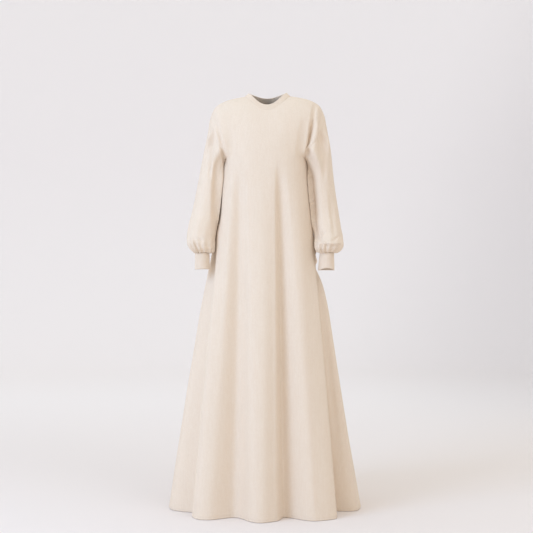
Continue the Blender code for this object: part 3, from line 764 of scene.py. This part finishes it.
# Long soft folds of the sleeves: where each starts and ends, its place round the sleeve at both
# (degrees from the outside towards the front), how far it stands out, and half its breadth
RIGHT_SLEEVE_FOLDS = table(
    "top   bottom top_turn bottom_turn stand   half",
    (0.13, 0.44, 90.0, 140.0, -0.008, 30.0),
    (0.25, 0.50, 60.0, 72.0, 0.004, 24.0),
    (0.18, 0.47, 270.0, 240.0, -0.005, 26.0),
)
LEFT_SLEEVE_FOLDS = table(
    "top   bottom top_turn bottom_turn stand   half",
    (0.26, 0.50, 48.0, 66.0, 0.004, 26.0),
    (0.20, 0.48, 280.0, 255.0, -0.005, 26.0),
)

# Creases of the sleeves alone, placed in the view from in front
RIGHT_SLEEVE_CREASES = table(
    "from_x  from_down to_x    to_down bow     stand    half",
    (-0.250, 0.495, -0.228, 0.526, 0.003, -0.0040, 0.006),
    (-0.246, 0.490, -0.213, 0.508, -0.003, -0.0036, 0.007),
)
LEFT_SLEEVE_CREASES = table(
    "from_x from_down to_x   to_down bow     stand    half",
    (0.160, 0.504, 0.250, 0.506, 0.005, 0.0065, 0.0075),
    (0.170, 0.510, 0.195, 0.470, -0.009, -0.0040, 0.0085),
    (0.213, 0.498, 0.242, 0.483, 0.003, -0.0040, 0.0070),
    (0.213, 0.320, 0.229, 0.505, 0.000, -0.0060, 0.0150),
    (0.124, 0.130, 0.148, 0.530, 0.004, -0.0240, 0.0500),
)


def join_edges(one, two):
    """Two panels' edges as one closed loop of points, normals and ways out of the panels."""
    parts = []
    for a, b in zip(one, two):
        parts.append(np.vstack([(a[0] + b[-1]) / 2, a[1:-1], (a[-1] + b[0]) / 2, b[1:-1]]))
    points, normals, away = parts
    along = unit(np.roll(points, -1, axis=0) - np.roll(points, 1, axis=0))
    normals = unit(normals - np.sum(normals * along, axis=1, keepdims=True) * along)
    outwards = unit(np.cross(normals, along))
    outwards *= np.sign(np.sum(outwards * away, axis=1, keepdims=True))
    return points, normals, outwards


def body_side(arm, ahead, down):
    """How far out the body reaches at a place beside a sleeve, before any fold."""
    half, shift, in_front, behind, square = read(BODY, down, *list(BODY)[1:])
    depth = np.where(ahead > 0, in_front, behind)
    rest = np.clip(1 - np.abs(ahead / depth) ** square, 0, 1)
    return half * rest ** (1 / square) + arm * shift


def oval(sections, down, turn):
    """A sleeve's or cuff's level section, outside first and then round by the front."""
    outer, inner, ahead, deep = read(sections, down, "outer", "inner", "ahead", "deep")
    return np.column_stack([
        (outer + inner) / 2 + (outer - inner) / 2 * np.cos(turn),
        ahead + deep * np.sin(turn),
        np.full_like(turn, -down),
    ])


def sleeve_folds(folds, points, turn):
    """How far each point stands out because of the sleeve's long folds."""
    stand = np.zeros(len(points))
    down = -points[:, 2]
    for fold in each_row(folds):
        run = (down - fold["top"]) / (fold["bottom"] - fold["top"])
        crest = fold["top_turn"] + (fold["bottom_turn"] - fold["top_turn"]) * run
        away = (np.degrees(turn) - crest + 180) % 360 - 180
        swell = np.sin(np.pi * np.clip(run, 0, 1))
        stand += fold["stand"] * swell * hump(away, fold["half"])
    return stand


def settle(rows):
    """Evens out closed rows of points between the first and the last, as soft cloth does."""
    for _ in range(SETTLE_PASSES):
        beside = np.roll(rows, 1, axis=1) + np.roll(rows, -1, axis=1)
        rows[1:-1] += (beside[1:-1] + rows[:-2] + rows[2:] - 4 * rows[1:-1]) / 8


def make_sleeve(name, node, arm, sections, folds, creases, front_edge, back_edge):
    """A full sleeve from its armhole to the cuff; arm is 1 on the wearer's left, -1 on the right."""
    points, normals, outwards = join_edges(front_edge, [part[::-1] for part in back_edge])
    count = len(points)
    half = count // 2
    yoke = YOKE_ROWS - 0.5
    half_share = np.interp(np.arange(half + 1), [0, yoke, half], [0, CAD_YOKE_SHARE, 1])
    share = np.concatenate([half_share, half_share[-2:0:-1]])
    turn = np.pi * np.concatenate([half_share, 2 - half_share[-2:0:-1]])
    bend, pull = [column[:, None] for column in read(SLEEVE_START, share, "bend", "pull")]
    bend = np.radians(bend)
    leave = np.cos(bend) * outwards + np.sin(bend) * normals
    start = points + PANEL_GAP * outwards

    to_world = np.array([arm, -1, 1])
    first = sections["down"][0]
    end = oval(sections, first, turn) * to_world
    arrive = unit(oval(sections, first + ARRIVAL_DROP, turn) * to_world - end)
    chord = np.linalg.norm(end - start, axis=1, keepdims=True)
    rows = [
        hermite(start, leave * chord * pull, end, arrive * chord, row / CAP_ROWS)
        for row in range(CAP_ROWS + 1)
    ]
    around = np.column_stack([np.cos(turn), np.sin(turn), np.zeros(count)]) * to_world
    for down in np.linspace(first, sections["down"][-1], ARM_ROWS + 1)[1:]:
        gather = read(sections, down, "gather")[0] * (1 + GATHER_UNEVEN * np.sin(3 * turn + arm))
        crowding = GATHER_CROWDING * np.sin(2 * turn + 2 * arm)
        wave = gather * np.cos(GATHERS * turn + crowding)
        row = oval(sections, down, turn) * to_world + wave[:, None] * around
        row[:, 2] -= GATHER_DROOP * (wave + gather)
        rows.append(row)

    rows = np.array(rows)
    for row in rows[1:-1]:
        row += sleeve_folds(folds, row, turn)[:, None] * around
    settle(rows[:SETTLED_ROWS])

    for number, row in enumerate(rows[1:-1], start=1):
        settled = ease(2 * number / CAP_ROWS)
        clear = PANEL_GAP + (BODY_CLEARANCE - PANEL_GAP) * settled
        limit = body_side(arm, -row[:, 1], -row[:, 2]) + clear
        below = ease((-row[:, 2] - ARMPIT) / (UNDERARM - ARMPIT))
        reach = arm * row[:, 0]
        pressed = (reach + limit + np.hypot(reach - limit, BODY_SOFTNESS * settled)) / 2
        row[:, 0] = arm * (reach + (pressed - reach) * below)

    faces = quads(numbered(rows), closed=True, flip=arm < 0)
    sheet = rows.reshape(-1, 3)
    sheet_normals = point_normals(sheet, faces)
    onto_sleeve = ease(np.arange(len(rows)) / CAP_ROWS)[:, None]
    stand = body_creases(sheet, sheet_normals).reshape(-1, count)
    stand -= (1 - onto_sleeve) * stand[0]
    stand += onto_sleeve * crease(sheet, -sheet_normals[:, 1], creases).reshape(-1, count)
    stand = stand.ravel()
    from_top = lengths_along(rows).ravel()
    stand -= SEAM_ROLL * np.exp(-(from_top / SEAM_ROLL_BREADTH) ** 2)
    sheet = sheet + stand[:, None] * sheet_normals
    round_sleeve = lengths_along(rows.transpose(1, 0, 2)).T
    cloth = np.column_stack([round_sleeve.ravel(), -from_top])
    sleeve = sew_sheet(name, node, sheet, faces, cloth)


make_sleeve("right_sleeve", "sleeve_right", -1, RIGHT_SLEEVE, RIGHT_SLEEVE_FOLDS,
            RIGHT_SLEEVE_CREASES, front["first_armhole"], back["last_armhole"])
make_sleeve("left_sleeve", "sleeve_left", 1, LEFT_SLEEVE, LEFT_SLEEVE_FOLDS,
            LEFT_SLEEVE_CREASES, front["last_armhole"], back["first_armhole"])


# Rib cuffs
# Each cuff is a strip of fine rib in the same yarn, folded double so that its lower edge is a
# soft round fold, and sewn to the gathered end of the sleeve.

RIB_THICKNESS = 0.0024
RIB_PITCH = 0.0033      # from one rib to the next
RIB_RISE = 0.00045      # how far a rib stands out on each side of the cloth's face
RIB_SQUARE = 0.7        # 1 rounds the ribs like a wave, less squares them
RIB_POINTS = 6          # columns of faces to a rib
GIRTH_SAMPLES = 721     # points that measure the girth of a cuff
CUFF_REACH = 0.0002     # how far a cuff reaches up over its first section
BAND_FACE_ROWS = 12
FOLD_STEPS = 5          # round the folded edge

RIGHT_CUFF = table(
    "down    outer   inner   ahead  deep  lift",
    (0.5385, 0.2464, 0.1975, 0.062, 0.03, 0.0000),
    (0.5680, 0.2462, 0.1970, 0.063, 0.03, 0.0000),
    (0.5960, 0.2466, 0.1965, 0.064, 0.03, 0.0015),
)
LEFT_CUFF = table(
    "down    outer   inner   ahead   deep  lift",
    (0.5385, 0.2246, 0.1777, 0.0710, 0.03, 0.000),
    (0.5680, 0.2255, 0.1740, 0.0735, 0.03, 0.000),
    (0.5990, 0.2262, 0.1715, 0.0760, 0.03, 0.007),
)

RIB = knit_cloth("oatmeal rib", wale=0.0011, course=0.0009, stitch_depth=0.00025,
                 nap_depth=0.00035)


def rib_band(name, node, rings, flip):
    """A doubled rib band from its seam to its fold; each ring of points runs round it once."""
    count = rings.shape[1]
    faces = quads(numbered(rings), closed=True, flip=flip)
    normals = point_normals(rings.reshape(-1, 3), faces).reshape(rings.shape)
    wave = np.cos(2 * np.pi * np.arange(count) / RIB_POINTS)[:, None]
    rise = RIB_RISE * np.sign(wave) * np.abs(wave) ** RIB_SQUARE

    edge = rings[-1] - normals[-1] * RIB_THICKNESS / 2
    onwards = unit(rings[-1] - rings[-2])
    fold = [
        edge + (normals[-1] * np.cos(turn) + onwards * np.sin(turn)) * (RIB_THICKNESS / 2 + rise)
        for turn in np.linspace(0, np.pi, FOLD_STEPS + 2)[1:-1]
    ]
    outside = rings + normals * rise
    inside = (rings - normals * (RIB_THICKNESS + rise))[::-1]
    rows = np.concatenate([outside, fold, inside])
    faces = quads(np.vstack([numbered(rows), numbered(rows[:1])]), closed=True, flip=flip)
    down = lengths_along(rows)
    across = np.broadcast_to(np.arange(count) * RIB_PITCH / RIB_POINTS, down.shape)
    cloth = np.column_stack([across.ravel(), -down.ravel()])
    band = new_piece(name, rows.reshape(-1, 3), faces.tolist(), RIB, cloth)
    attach(band, "root")
    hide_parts(node)
    return band


def rib_places(girth):
    """Even places round a band, so that it gets a whole number of ribs."""
    ribs = round(girth / RIB_PITCH)
    return np.linspace(0, girth, ribs * RIB_POINTS + 1)[:-1]


def make_cuff(name, node, arm, sections):
    """A cuff as a rib band that hangs from the gathers."""
    samples = np.linspace(0, 2 * np.pi, GIRTH_SAMPLES)
    girth = lengths_along(oval(sections, sections["down"][0], samples)[:, None])[:, 0]
    turn = np.interp(rib_places(girth[-1]), girth, samples)
    first = sections["down"][0] - CUFF_REACH
    last = sections["down"][-1] - RIB_THICKNESS / 2
    rings = []
    for down in np.linspace(first, last, BAND_FACE_ROWS):
        ring = oval(sections, down, turn) * (arm, -1, 1)
        ring[:, 2] += read(sections, down, "lift")[0] * np.sin(turn).clip(0) ** 2
        rings.append(ring)
    return rib_band(name, node, np.array(rings), flip=arm < 0)


right_cuff = make_cuff("right_cuff", "cuff_right", -1, RIGHT_CUFF)
left_cuff = make_cuff("left_cuff", "cuff_left", 1, LEFT_CUFF)


# Neckband
# A narrow strip of the same rib, folded double and sewn round the crew neckline. It leans in
# towards the neck as it rises.

BAND_HEIGHT = 0.020
BAND_LEAN = 0.75        # how far the neckband leans in, against its rise
RIM_REACH = 0.060       # how far along the rim its heights are evened out


def make_neckband(name, node, neckline):
    points, _, outwards = neckline
    start = points + PANEL_GAP * outwards
    loop = np.vstack([start, start[:1]])
    girth = lengths_along(loop[:, None])[:, 0]
    base = along_line(rib_places(girth[-1]), girth, loop)
    inwards = unit(base * (-1, -1, 0))
    rise = unit(inwards * BAND_LEAN + (0, 0, 1))
    heights = np.linspace(0, BAND_HEIGHT - RIB_THICKNESS / 2, BAND_FACE_ROWS)
    rings = np.array([base + rise * height for height in heights])
    reach = int(RIM_REACH / RIB_PITCH * RIB_POINTS)
    weights = hump(np.arange(-reach, reach + 1), reach + 1)
    around = np.concatenate([base[-reach:, 2], base[:, 2], base[:reach, 2]])
    even = np.convolve(around, weights / weights.sum(), "valid")
    rings[:, :, 2] += ease(heights / BAND_HEIGHT)[:, None] * (even - base[:, 2])
    return rib_band(name, node, rings, flip=False)


neckband = make_neckband("neck_rib", "neckband", join_edges(front["neckline"], back["neckline"]))


# Hem stitching
# One line of lockstitch in matching thread holds the turned-up hem, a few millimetres above
# its edge, all the way round the skirt.

THREAD = (0.80, 0.71, 0.62, 1.0)
THREAD_DARK = (0.66, 0.56, 0.47, 1.0)
THREAD_TWIST = 2400.0   # noise cells to the metre
STITCH_LENGTH = 0.0030
STITCH_GAP = 0.0007
STITCH_HALF = 0.00032   # half the thread's thickness
STITCH_SIDES = 5
STITCH_SHAPE = ((0.0, 0.25), (0.2, 1.0), (0.8, 1.0), (1.0, 0.25))  # along it, and how thick there

SEWING_THREAD, tree, shader, place = new_material("oatmeal thread")
twist = cloudy(tree, place, THREAD_TWIST)
set_inputs(tree, shader, {
    "Base Color": between(tree, spread(tree, twist, 0.35, 0.65), THREAD_DARK, THREAD),
    "Roughness": 0.60,
    "Normal": bumped(tree, twist, 0.0001, strength=0.5),
})


def stitch_line(name, line):
    """Separate stitches along a line of points on the cloth, half sunk into it."""
    points, normals, _ = line
    lengths = lengths_along(points[:, None])[:, 0]
    starts = np.arange(STITCH_GAP, lengths[-1] - STITCH_LENGTH, STITCH_LENGTH + STITCH_GAP)
    rows = []
    for share, breadth in STITCH_SHAPE:
        at = starts + share * STITCH_LENGTH
        centre, out = [along_line(at, lengths, part)[:, None] for part in (points, normals)]
        turn = 2 * np.pi * np.arange(STITCH_SIDES)[:, None] / STITCH_SIDES
        ring = np.cos(turn) * unit(out) + np.sin(turn) * (0, 0, 1)
        rows.append(centre + breadth * STITCH_HALF * ring)
    rows = np.array(rows).transpose(1, 0, 2, 3)
    numbers = numbered(rows[0])
    one = quads(numbers, closed=True).tolist() + [numbers[0, ::-1].tolist(), numbers[-1].tolist()]
    faces = [
        [i + stitch * numbers.size for i in face] for stitch in range(len(starts)) for face in one
    ]
    stitching = new_piece(name, rows.reshape(-1, 3), faces, SEWING_THREAD)
    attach(stitching, "root")
    return stitching


for face, made in ((FRONT, front), (BACK, back)):
    hem = stitch_line(face["node"] + "_hem_stitching", made["hem_line"])


# Floor and backdrop
# Seamless pale studio paper: level under the garment, and swept up into a wall all round, so
# that no edge shows from any side.

# Painted light and shade on the paper: a lit and a shaded colour, and a warmer, darker painted shade
# near the garment.
PAPER_PAINTED_LIT = (0.960, 0.922, 0.912, 1.0)
PAPER_PAINTED_SHADE = (0.815, 0.778, 0.772, 1.0)
PAPER_PAINTED_NEAR_SHADE = (0.862, 0.796, 0.757, 1.0)
PAPER_TURN = (0.8, 3.0)  # painted shade: the paper darkens over this way to the wearer's left and down
PAPER_SLANT = -0.5      # how much the height counts in that, against the way to the side
PAPER_NEARING = (0.2, 3.6)  # and loses its warmer, darker near colour, a painted shade round the garment, over this way to the back
FLOOR_LEVEL = -1.4120
FLOOR_RADIUS = 5.2
SWEEP_RADIUS = 1.8
SWEEP_STEPS = 15
WALL_TOP = 2.6
PAPER_SIDES = 96

rise = np.linspace(0, np.pi / 2, SWEEP_STEPS + 1)
out = [0.001, FLOOR_RADIUS / 2, *(FLOOR_RADIUS + SWEEP_RADIUS * np.sin(rise)),
       FLOOR_RADIUS + SWEEP_RADIUS]
up = [0.0, 0.0, *(SWEEP_RADIUS * (1 - np.cos(rise))), WALL_TOP - FLOOR_LEVEL]
turn = 2 * np.pi * np.arange(PAPER_SIDES) / PAPER_SIDES
points = np.array([
    (r * np.cos(a), r * np.sin(a), FLOOR_LEVEL + h) for r, h in zip(out, up) for a in turn
])
numbers = np.arange(len(points)).reshape(-1, PAPER_SIDES)
faces = quads(numbers, closed=True, flip=True).tolist() + [numbers[0].tolist()]
material, tree, shader, place = new_material("studio paper")
place = coordinates(tree, place)
# Painted shade in the paper's colour: darker to the wearer's left and down, and warmer and darker
# near the garment.
aside = calculate(tree, "MULTIPLY_ADD", place["Z"], PAPER_SLANT, place["X"])
far = between(tree, spread(tree, aside, *PAPER_TURN), PAPER_PAINTED_LIT, PAPER_PAINTED_SHADE)
share = spread(tree, place["Y"], *PAPER_NEARING)
set_inputs(tree, shader, {
    "Base Color": between(tree, share, PAPER_PAINTED_NEAR_SHADE, far),
    "Roughness": 0.95,
    "Specular IOR Level": 0.1,
})
new_piece("studio_paper", points, faces, material)


# Light and camera
# A large soft light stands beside the camera on its left, a weak smaller one high on its right,
# and even light comes from all round. The camera is level, four metres in front, at hip height.

ROOM_LIGHT = (0.985, 1.0, 0.990, 1.0)
ROOM_STRENGTH = 0.895
CAMERA_PLACE = (-0.0035, -4.0, -0.5865)
CAMERA_LENS = 78.3


def soft_light(name, place, target, size, power, colour):
    light = bpy.data.lights.new(name, "AREA")
    light.shape = "RECTANGLE"
    light.size = light.size_y = size
    light.energy = power
    light.color = colour
    lamp = new_object(name, light)
    lamp.location = place
    aim = np.array(target) - np.array(place)
    yaw = np.arctan2(aim[0], aim[1])
    pitch = np.arctan2(aim[2], np.hypot(aim[0], aim[1]))
    lamp.rotation_euler = (np.pi / 2 + pitch, 0.0, -yaw)


world = bpy.data.worlds.new("studio")
world.use_nodes = True
set_inputs(world.node_tree, world.node_tree.nodes["Background"],
           {"Color": ROOM_LIGHT, "Strength": ROOM_STRENGTH})
bpy.context.scene.world = world

soft_light("key", place=(-3.5, -3.1, 1.1), target=(0.0, 0.0, -0.7), size=2.4, power=122.0,
           colour=(0.475, 0.675, 1.0))
soft_light("side_fill", place=(2.0, -2.4, 1.8), target=(0.0, 0.0, -0.1), size=1.6, power=15.0,
           colour=(0.88, 0.92, 1.0))

camera = new_object("camera", bpy.data.cameras.new("camera"))
camera.location = CAMERA_PLACE
camera.rotation_euler = (np.pi / 2, 0.0, 0.0)
camera.data.lens = CAMERA_LENS
camera.data.sensor_width = 36.0
bpy.context.scene.camera = camera
bpy.context.scene.view_settings.view_transform = "Standard"
